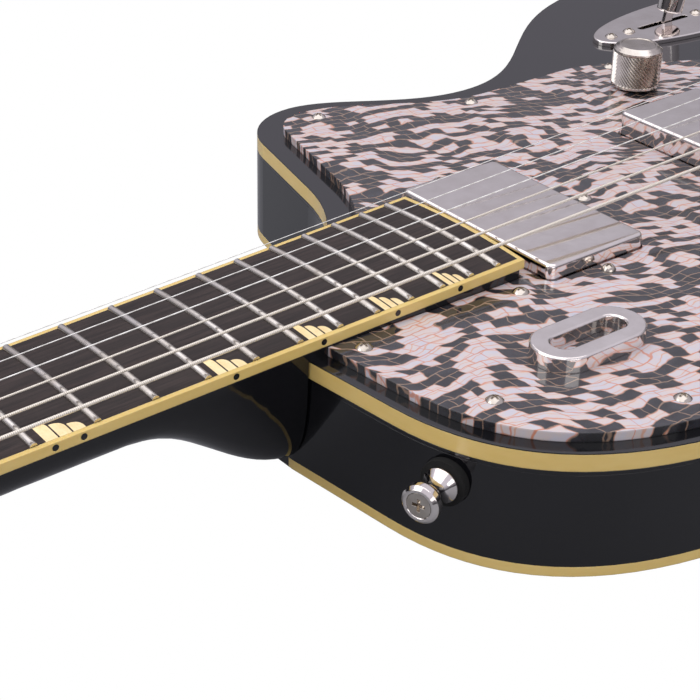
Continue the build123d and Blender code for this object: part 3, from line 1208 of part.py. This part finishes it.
# ------------------------------------------------------------------ the parts, one file each
def save_all():
    os.makedirs("parts", exist_ok=True)
    core, top, top_rim, back_rim = make_body()
    save(core, "body_core")
    save(top, "top_plate")
    save(top_rim, "top_binding")
    save(back_rim, "back_binding")
    save(make_neck(), "neck")
    board, board_binding, frets, inlays, dots = make_fingerboard()
    save(NECK_FRAME * board, "fingerboard")
    save(NECK_FRAME * board_binding, "fingerboard_binding")
    save(Compound([NECK_FRAME * fret for fret in frets]), "frets")
    save(Compound([NECK_FRAME * inlay for inlay in inlays]), "inlays")
    save(Compound([NECK_FRAME * dot for dot in dots]), "side_dots")
    save(NECK_FRAME * make_nut(), "nut")
    save(make_rod(), "truss_rod")
    save(make_rod_cover(), "truss_rod_cover")
    save(make_pickguard(), "pickguard")
    screws = [Pos(x, y, GUARD_TOP) * small_screw() for x, y in GUARD_SCREWS]
    screws += [Pos(x, y, PLATE_TOP) * small_screw() for x, y in PLATE_SCREWS]
    screws += [HEAD_FRAME * Pos(x, y, COVER_THICKNESS) * small_screw() for x, y in COVER_SCREWS]
    save(Compound(screws), "plate_screws")
    save(make_ornament(), "ornament")
    save(make_pickup_cover(NECK_PICKUP_X, NECK_PICKUP_TOP), "neck_pickup_cover")
    save(make_pickup_cover(BRIDGE_PICKUP_X, BRIDGE_PICKUP_TOP), "bridge_pickup_cover")
    save(Compound([coil for x, top_z in PICKUPS for coil in make_coils(x, top_z)]), "pickup_coils")
    save(Compound([make_pickup_base(x, top_z) for x, top_z in PICKUPS]), "pickup_bases")
    sides = (PICKUP_SCREW_Y, -PICKUP_SCREW_Y)
    save(Compound([make_height_screw(x, y) for x, _ in PICKUPS for y in sides]), "pickup_height_screws")
    save(make_control_plate(), "control_plate")
    save(make_switch_frame(), "switch_frame")
    save(Compound([switch_screw(-1), switch_screw(1)]), "switch_screws")
    save(leaning(make_switch_lever()), "switch_lever")
    save(make_switch_tip(), "switch_tip")
    save(make_pot(VOLUME_X, VOLUME_Y, FACE, GUARD_TOP), "volume_pot")
    save(make_pot(TONE_X, PLATE_Y, FACE, PLATE_TOP), "tone_pot")
    save(make_shaft(VOLUME_X, VOLUME_Y, GUARD_TOP), "volume_shaft")
    save(make_shaft(TONE_X, PLATE_Y, PLATE_TOP), "tone_shaft")
    save(make_knob(VOLUME_X, VOLUME_Y, GUARD_TOP), "volume_knob")
    save(make_knob(TONE_X, PLATE_Y, PLATE_TOP), "tone_knob")
    save(make_jack_cup(), "jack_cup")
    save(make_jack(), "output_jack")
    save(Compound([make_stud(x, y, BRIDGE_BASE + 5, STUD_RADIUS) for x, y in BRIDGE_SITES]), "bridge_studs")
    save(Compound([make_wheel(x, y) for x, y in BRIDGE_SITES]), "bridge_wheels")
    save(make_bridge_body(), "bridge_body")
    save(Compound([make_saddle(number) for number in range(6)]), "bridge_saddles")
    save(Compound([saddle_screw_way(number, SADDLE_SCREW_RADIUS) for number in range(6)]), "saddle_screws")
    save(make_tailpiece(), "tailpiece")
    save(Compound([make_tail_stud(x, y) for x, y in TAILPIECE_SITES]), "tailpiece_studs")
    save(Compound([make_string(number) for number in range(WOUND_COUNT)]), "wound_strings")
    save(Compound([make_string(number) for number in range(WOUND_COUNT, 6)]), "plain_strings")
    frames = strap_frames()
    save(Compound([make_strap_button(frame) for frame in frames]), "strap_buttons")
    save(Compound([make_strap_screw(frame) for frame in frames]), "strap_screws")
    save(Compound([make_felt(frame) for frame in frames]), "strap_felts")
    sites = tuner_sites()
    save(Compound([make_case(*site) for site in sites]), "tuner_cases")
    save(Compound([make_bushing(place, side) for place, side, _ in sites]), "tuner_bushings")
    for number, (place, side, way) in enumerate(sites, start=1):
        save(make_post(place, side), f"tuner_post_{number}")
        save(make_button(place, side, way), f"tuner_button_{number}")


save_all()
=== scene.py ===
import bpy
import bmesh
import math
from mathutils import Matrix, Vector


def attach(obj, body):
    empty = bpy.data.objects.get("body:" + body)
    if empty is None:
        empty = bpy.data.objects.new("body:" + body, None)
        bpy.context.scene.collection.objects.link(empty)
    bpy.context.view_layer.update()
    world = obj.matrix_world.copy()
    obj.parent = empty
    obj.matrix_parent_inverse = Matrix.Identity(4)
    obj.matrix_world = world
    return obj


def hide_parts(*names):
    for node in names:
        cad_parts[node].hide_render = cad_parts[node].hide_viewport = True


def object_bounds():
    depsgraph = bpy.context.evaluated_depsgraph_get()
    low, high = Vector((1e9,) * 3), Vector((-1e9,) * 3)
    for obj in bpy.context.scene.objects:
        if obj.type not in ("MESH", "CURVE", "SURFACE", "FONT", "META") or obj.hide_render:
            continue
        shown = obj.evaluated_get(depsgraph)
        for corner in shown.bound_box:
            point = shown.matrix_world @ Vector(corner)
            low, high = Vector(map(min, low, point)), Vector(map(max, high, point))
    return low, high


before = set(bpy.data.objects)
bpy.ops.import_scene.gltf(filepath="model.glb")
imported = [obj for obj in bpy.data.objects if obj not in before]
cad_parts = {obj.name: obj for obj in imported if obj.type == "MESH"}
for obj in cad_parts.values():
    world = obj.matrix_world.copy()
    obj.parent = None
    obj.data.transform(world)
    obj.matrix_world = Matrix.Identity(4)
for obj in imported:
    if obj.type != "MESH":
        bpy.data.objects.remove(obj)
cad_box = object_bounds()
scene = bpy.context.scene

# ---- The camera and the white studio.
# A plain pale floor under the guitar, soft boxes above and behind it, and a sky that the lacquer
# mirrors as blue-grey from above and as near black from the sides.
CAMERA_PLACE = (-0.52853, -0.37994, 0.29772)
CAMERA_TURN = (60.4392, -1.2351, -38.5544)
CAMERA_LENS = 92.16
SKY_TOP = "D2CEDA"
SKY_LOW = "17171A"
SKY_TOP_HEIGHT = 0.55
FLOOR_SIDE = 12
FLOOR_GAP = 0.0005
FLOOR_SHADE = "808086"


def linear(code):
    """An sRGB hex colour as linear red, green, blue and a full alpha."""
    parts = [int(code[i:i + 2], 16) / 255 for i in (0, 2, 4)]
    curve = [p / 12.92 if p <= 0.04045 else ((p + 0.055) / 1.055) ** 2.4 for p in parts]
    return (*curve, 1.0)


def add(tree, kind, links=(), **settings):
    """Adds a node, sets its properties and sockets by name, and links outputs of others into it."""
    node = tree.nodes.new(kind)
    for name, value in settings.items():
        if hasattr(node, name):
            setattr(node, name, value)
        else:
            node.inputs[name.replace("_", " ")].default_value = value
    for source, target in links:
        tree.links.new(source, node.inputs[target])
    return node


def new_material(name):
    """An empty material with its output, ready for a shader."""
    material = bpy.data.materials.new(name)
    material.use_nodes = True
    tree = material.node_tree
    tree.nodes.clear()
    return material, tree, tree.nodes.new("ShaderNodeOutputMaterial")


camera_data = bpy.data.cameras.new("studio_camera")
camera_data.lens = CAMERA_LENS
camera_data.sensor_width = 36.0
camera_data.clip_end = 50.0
camera = bpy.data.objects.new("studio_camera", camera_data)
scene.collection.objects.link(camera)
camera.location = CAMERA_PLACE
camera.rotation_euler = [math.radians(turn) for turn in CAMERA_TURN]
scene.camera = camera

world = bpy.data.worlds.new("studio_sky")
scene.world = world
world.use_nodes = True
sky = world.node_tree
sky.nodes.clear()
sky_way = add(sky, "ShaderNodeTexCoord")
sky_parts = add(sky, "ShaderNodeSeparateXYZ", [(sky_way.outputs["Generated"], 0)])
sky_ramp = add(sky, "ShaderNodeValToRGB", [(sky_parts.outputs["Z"], 0)])
sky_ramp.color_ramp.elements[0].position = 0.0
sky_ramp.color_ramp.elements[0].color = linear(SKY_LOW)
sky_ramp.color_ramp.elements[1].position = SKY_TOP_HEIGHT
sky_ramp.color_ramp.elements[1].color = linear(SKY_TOP)
sky_seen = add(sky, "ShaderNodeLightPath")
sky_mirror = add(sky, "ShaderNodeBackground", [(sky_ramp.outputs[0], 0)], Strength=1.0)
sky_plain = add(sky, "ShaderNodeBackground", Color=linear("FFFFFF"), Strength=1.0)
sky_mix = add(
    sky, "ShaderNodeMixShader",
    [(sky_seen.outputs["Is Glossy Ray"], 0), (sky_plain.outputs[0], 1), (sky_mirror.outputs[0], 2)],
)
add(sky, "ShaderNodeOutputWorld", [(sky_mix.outputs[0], 0)])


def soft_box(name, place, aim, size, power):
    """A rectangular studio lamp, in metres and watts, that points at a place."""
    lamp = bpy.data.lights.new(name, "AREA")
    lamp.shape = "RECTANGLE"
    lamp.size = size[0]
    lamp.size_y = size[1]
    lamp.energy = power
    holder = bpy.data.objects.new(name, lamp)
    scene.collection.objects.link(holder)
    holder.location = place
    holder.rotation_euler = (Vector(aim) - Vector(place)).to_track_quat("-Z", "Y").to_euler()


soft_box("high_box", (-0.2, 0.3, 1.6), (-0.15, 0.0, 0.0), (2.4, 2.4), 17.0)
soft_box("left_box", (-1.5, 0.5, 0.9), (-0.2, 0.0, 0.0), (0.9, 1.4), 6.0)
soft_box("near_box", (-0.4, -1.5, 0.7), (-0.2, 0.0, 0.0), (1.2, 0.5), 3.0)

floor_level = cad_box[0][2] - FLOOR_GAP
bpy.ops.object.select_all(action="DESELECT")
bpy.ops.mesh.primitive_plane_add(size=FLOOR_SIDE, location=(0, 0, floor_level))
floor = bpy.context.object
floor.name = "floor"
floor_paint, tree, out = new_material("pale_floor")
seen = add(tree, "ShaderNodeLightPath")
white = add(tree, "ShaderNodeEmission", Color=linear("FFFFFF"), Strength=1.0)
matt = add(tree, "ShaderNodeBsdfDiffuse", Color=linear(FLOOR_SHADE))
mix = add(
    tree, "ShaderNodeMixShader",
    [(seen.outputs["Is Camera Ray"], 0), (matt.outputs[0], 1), (white.outputs[0], 2)],
)
tree.links.new(mix.outputs[0], out.inputs[0])
floor.data.materials.append(floor_paint)



# ---- Body and neck wood.
# Mahogany with a capped top, sprayed black and polished: a deep gloss coat over black paint, with
# the faint haze of buffing. The core, the top and the neck are glued as one.
def soft_edge(tree, width):
    """A normal that rounds the piece's sharp edges by this much, in millimetres."""
    return add(tree, "ShaderNodeBevel", samples=6, Radius=width / 1000)


def millimetres(tree, stretch=(1.0, 1.0, 1.0)):
    """The place on the piece in millimetres, stretched for a grain."""
    place = add(tree, "ShaderNodeTexCoord")
    scale = [1000 * way for way in stretch]
    return add(tree, "ShaderNodeMapping", [(place.outputs["Object"], 0)], Scale=scale)


def noise(tree, source, scale, detail=2.0):
    """A cloudy value over a place."""
    return add(tree, "ShaderNodeTexNoise", [(source.outputs[0], "Vector")], Scale=scale, Detail=detail)


def spread(tree, source, low, high, start=0.3, end=0.7):
    """A value carried from one range to another."""
    return add(
        tree, "ShaderNodeMapRange", [(source.outputs[0], 0)],
        From_Min=start, From_Max=end, To_Min=low, To_Max=high,
    )


def blend(tree, factor, first, second):
    """A colour between two hex colours or two nodes."""
    mixer = add(tree, "ShaderNodeMix", [(factor.outputs[0], "Factor")], data_type="RGBA")
    for slot, colour in ((6, first), (7, second)):
        if isinstance(colour, str):
            mixer.inputs[slot].default_value = linear(colour)
        else:
            tree.links.new(colour, mixer.inputs[slot])
    return mixer.outputs[2]


def wear(node, material):
    """Gives a CAD piece its one material."""
    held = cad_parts[node]
    held.data.materials.clear()
    held.data.materials.append(material)


def black_lacquer():
    material, tree, out = new_material("black_nitro_lacquer")
    place = millimetres(tree)
    haze = noise(tree, place, 0.04, 4.0)
    rough = spread(tree, haze, 0.04, 0.10)
    colour = blend(tree, haze, "060608", "0C0C10")
    ripple = noise(tree, place, 0.09)
    rounded = soft_edge(tree, 0.6)
    skin = add(
        tree, "ShaderNodeBump", [(ripple.outputs[0], "Height"), (rounded.outputs[0], "Normal")],
        Strength=0.05, Distance=0.0004,
    )
    shader = add(
        tree, "ShaderNodeBsdfPrincipled",
        [(colour, "Base Color"), (rough.outputs[0], "Roughness"), (skin.outputs[0], "Normal")],
        IOR=1.5, Coat_Weight=0.35, Coat_Roughness=0.03,
    )
    tree.links.new(shader.outputs[0], out.inputs[0])
    return material


lacquer = black_lacquer()
for piece in ("body_core", "top_plate", "neck"):
    wear(piece, lacquer)


# ---- Binding.
# Cream celluloid glued into a rebate round both edges of the body and along the fingerboard, then
# scraped and polished: yellowed, faintly streaked along its length, with a clear gloss.
def cream_celluloid():
    material, tree, out = new_material("cream_celluloid")
    place = millimetres(tree, (0.3, 0.3, 1.0))
    streak = noise(tree, place, 0.5, 5.0)
    cloud = noise(tree, place, 0.06, 3.0)
    pale = blend(tree, streak, "CDB069", "DCC283")
    colour = blend(tree, spread(tree, cloud, 0.0, 0.5), pale, "C3A35A")
    rounded = soft_edge(tree, 0.5)
    shader = add(
        tree, "ShaderNodeBsdfPrincipled", [(colour, "Base Color"), (rounded.outputs[0], "Normal")],
        Roughness=0.22, IOR=1.5, Subsurface_Weight=0.15, Subsurface_Scale=0.001,
        Subsurface_Radius=(1.0, 0.6, 0.25), Coat_Weight=0.3, Coat_Roughness=0.05,
    )
    tree.links.new(shader.outputs[0], out.inputs[0])
    return material


celluloid = cream_celluloid()
for piece in ("top_binding", "back_binding", "fingerboard_binding"):
    wear(piece, celluloid)


# ---- Fingerboard.
# Rosewood, dark and open-pored, radiused and sanded along its length, with mother-of-pearl
# coloured bars let in at the bass edge and black dots in the binding.
def rosewood():
    material, tree, out = new_material("oiled_rosewood")
    grain = millimetres(tree, (0.06, 1.0, 1.0))
    fibre = noise(tree, grain, 0.9, 8.0)
    band = noise(tree, grain, 0.16, 3.0)
    wood = blend(tree, spread(tree, fibre, 0.0, 1.0, 0.35, 0.65), "1C1413", "372B29")
    colour = blend(tree, spread(tree, band, 0.0, 0.8, 0.4, 0.7), wood, "241B19")
    pores = add(
        tree, "ShaderNodeBump", [(fibre.outputs[0], "Height")], Strength=0.35, Distance=0.0002
    )
    shader = add(
        tree, "ShaderNodeBsdfPrincipled", [(colour, "Base Color"), (pores.outputs[0], "Normal")],
        Roughness=0.5, Specular_IOR_Level=0.3,
    )
    tree.links.new(shader.outputs[0], out.inputs[0])
    return material


def pearl(name, first, second, third):
    """A clouded, glossy shell or plastic of three tones."""
    material, tree, out = new_material(name)
    place = millimetres(tree, (1.0, 0.5, 1.0))
    cloud = noise(tree, place, 0.35, 4.0)
    vein = noise(tree, place, 1.4, 6.0)
    pale = blend(tree, spread(tree, cloud, 0.0, 1.0), first, second)
    colour = blend(tree, spread(tree, vein, 0.0, 0.4, 0.5, 0.7), pale, third)
    shader = add(
        tree, "ShaderNodeBsdfPrincipled", [(colour, "Base Color")],
        Roughness=0.22, Coat_Weight=0.4, Coat_Roughness=0.05,
    )
    tree.links.new(shader.outputs[0], out.inputs[0])
    return material


wear("fingerboard", rosewood())
wear("inlays", pearl("aged_pearloid", "E3C68E", "EDD6A6", "D2B074"))
wear("side_dots", pearl("black_dot_plastic", "0A0A0A", "101010", "181818"))
wear("nut", pearl("cut_bone", "DCD1B4", "E8DFC8", "CBBE9C"))


# ---- Pickguard.
# A thick plate sawn from laminated acetate scrap: short slanting flakes of charcoal and of a pale
# pink shell colour, each with a copper edge, pressed into wavy rows and polished to a high gloss.
FLAKE_LENGTH = 6.6
FLAKE_ROW = 3.7
FLAKE_SLANT = 0.5
FLAKE_TURN = 12
FLAKE_SEAM = 0.34
SEAM_STRENGTH = 0.8
DARK_SHARE = 0.52
DRIFT = (0.022, 2.0, 30.0)
SHIVER = (0.2, 1.0, 2.4)


def math_step(tree, operation, source, value, third=None):
    """One sum on a value, with a second number and, where asked, a third from a node."""
    links = [(source, 0)] if third is None else [(source, 0), (third, 2)]
    node = add(tree, "ShaderNodeMath", links, operation=operation)
    node.inputs[1].default_value = value
    return node


def flaked_acetate():
    material, tree, out = new_material("flaked_acetate")
    place = millimetres(tree)
    pushed = place.outputs[0]
    for scale, detail, reach in (DRIFT, SHIVER):
        source = noise(tree, place, scale, detail)
        centred = add(
            tree, "ShaderNodeVectorMath", [(source.outputs["Color"], 0)], operation="SUBTRACT"
        )
        centred.inputs[1].default_value = (0.5, 0.5, 0.5)
        scaled = add(
            tree, "ShaderNodeVectorMath", [(centred.outputs[0], 0)], operation="SCALE", Scale=reach
        )
        pushed = add(
            tree, "ShaderNodeVectorMath", [(pushed, 0), (scaled.outputs[0], 1)], operation="ADD"
        ).outputs[0]
    turned = add(tree, "ShaderNodeMapping", [(pushed, 0)], Rotation=(0, 0, math.radians(FLAKE_TURN)))
    parts = add(tree, "ShaderNodeSeparateXYZ", [(turned.outputs[0], 0)])
    slant = math_step(tree, "MULTIPLY_ADD", parts.outputs["Y"], FLAKE_SLANT, parts.outputs["X"])
    flat = add(
        tree, "ShaderNodeCombineXYZ", [(slant.outputs[0], "X"), (parts.outputs["Y"], "Y")]
    )
    rows = dict(
        offset=0.37, offset_frequency=2, squash=0.7, squash_frequency=3,
        Scale=1.0, Brick_Width=FLAKE_LENGTH, Row_Height=FLAKE_ROW,
    )
    bricks = add(
        tree, "ShaderNodeTexBrick", [(flat.outputs[0], "Vector")], Color1=(0, 0, 0, 1),
        Color2=(1, 1, 1, 1), Mortar=(0, 0, 0, 1), Mortar_Size=0.0, Bias=0.0, **rows,
    )
    seams = add(
        tree, "ShaderNodeTexBrick", [(flat.outputs[0], "Vector")],
        Mortar_Size=FLAKE_SEAM, Mortar_Smooth=0.7, **rows,
    )
    chosen = math_step(tree, "GREATER_THAN", bricks.outputs["Color"], DARK_SHARE)
    cloud = noise(tree, place, 0.22, 5.0)
    pale = blend(tree, spread(tree, cloud, 0.0, 1.0, 0.38, 0.62), "BEB0B0", "B4B0BC")
    dark = blend(tree, spread(tree, cloud, 0.0, 1.0, 0.38, 0.62), "1D1C20", "2E2D33")
    layers = add(
        tree, "ShaderNodeTexWave", [(flat.outputs[0], "Vector")], wave_type="BANDS",
        bands_direction="Y", Scale=0.11, Distortion=9.0, Detail=2.0, Detail_Scale=0.5,
    )
    line = add(
        tree, "ShaderNodeMapRange", [(layers.outputs["Fac"], 0)],
        From_Min=0.93, From_Max=0.99, To_Min=0.0, To_Max=0.75,
    )
    striped = blend(tree, line, pale, "C08D74")
    flakes = blend(tree, chosen, dark, striped)
    copper = blend(tree, chosen, "8A7060", "B9745A")
    seam_strength = math_step(tree, "MULTIPLY", seams.outputs["Fac"], SEAM_STRENGTH)
    colour = blend(tree, seam_strength, flakes, copper)
    rounded = soft_edge(tree, 0.7)
    shader = add(
        tree, "ShaderNodeBsdfPrincipled", [(colour, "Base Color"), (rounded.outputs[0], "Normal")],
        Roughness=0.12, IOR=1.5, Coat_Weight=0.5, Coat_Roughness=0.03,
        Subsurface_Weight=0.08, Subsurface_Scale=0.001,
    )
    tree.links.new(shader.outputs[0], out.inputs[0])
    return material


wear("pickguard", flaked_acetate())


# ---- Plated metal.
# Nickel over brass or steel, buffed bright: covers, bridge, tailpiece, plates, tuners and the
# small domed screws. Fine hairlines and cloudy wear break up its mirror.
def plated(name, bright, worn, rough, edge, hairline=0.04):
    material, tree, out = new_material(name)
    place = millimetres(tree)
    cloud = noise(tree, place, 0.12, 4.0)
    brushed = noise(tree, millimetres(tree, (0.08, 1.0, 1.0)), 3.0, 3.0)
    colour = blend(tree, spread(tree, cloud, 0.0, 1.0), bright, worn)
    gloss = spread(tree, cloud, rough * 0.6, rough * 1.5)
    rounded = soft_edge(tree, edge)
    lines = add(
        tree, "ShaderNodeBump", [(brushed.outputs[0], "Height"), (rounded.outputs[0], "Normal")],
        Strength=hairline, Distance=0.0001,
    )
    shader = add(
        tree, "ShaderNodeBsdfPrincipled",
        [(colour, "Base Color"), (gloss.outputs[0], "Roughness"), (lines.outputs[0], "Normal")],
        Metallic=1.0,
    )
    tree.links.new(shader.outputs[0], out.inputs[0])
    return material


nickel = plated("polished_nickel", "F6F0EC", "E9E2DD", 0.06, 0.5)
screw_nickel = plated("screw_nickel", "DCD5CC", "B9AFA2", 0.12, 0.2)
for piece in ("neck_pickup_cover", "bridge_pickup_cover", "control_plate", "ornament", "tailpiece"):
    wear(piece, nickel)
for piece in ("bridge_body", "bridge_wheels", "bridge_studs", "tailpiece_studs", "switch_lever"):
    wear(piece, nickel)
for piece in ("strap_buttons", "jack_cup", "tuner_cases", "tuner_bushings", "switch_tip"):
    wear(piece, nickel)
for piece in ("plate_screws", "pickup_height_screws", "switch_screws", "strap_screws", "saddle_screws"):
    wear(piece, screw_nickel)
wear("bridge_saddles", plated("saddle_brass", "D9C48A", "B99F63", 0.2, 0.2))
for number in range(1, 7):
    wear(f"tuner_post_{number}", nickel)


# ---- Frets.
# Nickel-silver wire with a low crown, pressed into slots, levelled and polished across the board.
wear("frets", plated("fret_nickel_silver", "E2DED8", "C2BAB0", 0.22, 0.15, 0.12))


# ---- Strings.
# Three plain steel wires and three wound ones: round nickel wire wrapped tightly on a steel core,
# which shows as fine rings across the string. Each ring's groove is painted darker, a painted shade;
# the plain wires carry the same painted shade in faint bands far apart.
def string_metal(name, bright, dark, pitch):
    material, tree, out = new_material(name)
    place = add(tree, "ShaderNodeTexCoord")
    rings = add(
        tree, "ShaderNodeTexWave", [(place.outputs["Object"], "Vector")], wave_type="BANDS",
        bands_direction="X", Scale=0.314 / pitch * 1000, Distortion=0.0,
    )
    # Painted shade: the colour darkens in each groove between the rings, following the bump.
    colour = blend(tree, spread(tree, rings, 0.0, 1.0, 0.0, 0.6), dark, bright)
    wrap = add(tree, "ShaderNodeBump", [(rings.outputs["Fac"], "Height")], Strength=0.4, Distance=0.0001)
    shader = add(
        tree, "ShaderNodeBsdfPrincipled", [(colour, "Base Color"), (wrap.outputs[0], "Normal")],
        Metallic=0.45, Roughness=0.3,
    )
    tree.links.new(shader.outputs[0], out.inputs[0])
    return material


wear("wound_strings", string_metal("wound_nickel_string", "F0E8DE", "A59B90", 0.6))
wear("plain_strings", string_metal("plain_steel_string", "F2F0EE", "D5D2CE", 6.0))


# ---- Dark and hidden pieces.
# Black plastic, felt, the rod and the electrics, most of them under the plates.
def dark_plastic(name, first, second, rough, scale):
    material, tree, out = new_material(name)
    place = millimetres(tree)
    grain = noise(tree, place, scale, 5.0)
    colour = blend(tree, grain, first, second)
    relief = add(tree, "ShaderNodeBump", [(grain.outputs[0], "Height")], Strength=0.3, Distance=0.0002)
    shader = add(
        tree, "ShaderNodeBsdfPrincipled", [(colour, "Base Color"), (relief.outputs[0], "Normal")],
        Roughness=rough,
    )
    tree.links.new(shader.outputs[0], out.inputs[0])
    return material


black_plastic = dark_plastic("black_plastic", "0C0C0D", "161617", 0.25, 0.4)
wear("strap_felts", dark_plastic("black_felt", "050505", "141414", 0.95, 2.4))
wear("truss_rod_cover", black_plastic)
wear("pickup_coils", black_plastic)
wear("pickup_bases", plated("nickel_silver_plate", "B9B3A6", "9C958A", 0.3, 0.2))
wear("truss_rod", plated("rod_steel", "8E8C8A", "6E6B68", 0.35, 0.2))
for piece in ("switch_frame", "volume_pot", "tone_pot", "volume_shaft", "tone_shaft", "output_jack"):
    wear(piece, plated(f"plated_{piece}", "C9C2B4", "A39A8C", 0.25, 0.3))
for number in range(1, 7):
    wear(f"tuner_button_{number}", nickel)


# ---- Volume and tone knobs.
# Solid brass barrels, nickel plated, with a cut diamond knurl between a plain foot and a bevelled
# shoulder, and a shallow dished top; a small screw in the side grips the shaft.
KNOB_RADIUS = 0.0095
KNOB_HEIGHT = 0.0165
KNURL_COUNT = 40
KNURL_ROWS = 8
KNURL_DEPTH = 0.0006
KNURL_LOW = 0.10
KNURL_HIGH = 0.83
FOOT_PROFILE = ((0.0, 0.93), (0.03, 0.985), (0.075, 0.985), (0.09, 0.955))
TOP_PROFILE = (
    (0.84, 0.955), (0.855, 0.99), (0.90, 0.99), (0.945, 0.90), (0.955, 0.86),
    (0.985, 0.80), (1.0, 0.77), (1.0, 0.70), (0.985, 0.68), (0.985, 0.30),
)


def knurled_knob(name, x, y, foot):
    """A turned barrel; each band is a share of its height and of its radius, or None for knurl."""
    bands = list(FOOT_PROFILE)
    for row in range(2 * KNURL_ROWS + 1):
        bands.append((KNURL_LOW + (KNURL_HIGH - KNURL_LOW) * row / (2 * KNURL_ROWS), None))
    bands += TOP_PROFILE
    spokes = 2 * KNURL_COUNT
    shape = bmesh.new()
    rings = []
    for number, (share, width) in enumerate(bands):
        ring = []
        for spoke in range(spokes):
            reach = KNOB_RADIUS * (width or 1.0)
            if width is None and (spoke + number) % 2:
                reach -= KNURL_DEPTH
            turn = 2 * math.pi * spoke / spokes
            ring.append(shape.verts.new((
                x + reach * math.cos(turn), y + reach * math.sin(turn), foot + KNOB_HEIGHT * share
            )))
        rings.append(ring)
    for lower, upper in zip(rings, rings[1:]):
        for spoke in range(spokes):
            following = (spoke + 1) % spokes
            shape.faces.new((lower[spoke], lower[following], upper[following], upper[spoke]))
    shape.faces.new(rings[-1])
    shape.faces.new(list(reversed(rings[0])))
    mesh = bpy.data.meshes.new(name)
    shape.to_mesh(mesh)
    shape.free()
    piece = bpy.data.objects.new(name, mesh)
    scene.collection.objects.link(piece)
    return piece


knurled = plated("knurled_nickel", "DDD6CE", "B7AFA6", 0.16, 0.01)
for control, x, y, foot in (
    ("volume", -0.0245, 0.0649, 0.0445),
    ("tone", 0.0960, 0.1127, 0.0435),
):
    knob = knurled_knob(f"{control}_knob_turned", x, y, foot)
    knob.data.materials.append(knurled)
    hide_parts(f"{control}_knob")
    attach(knob, f"{control}_control")

scene.view_settings.view_transform = "Standard"
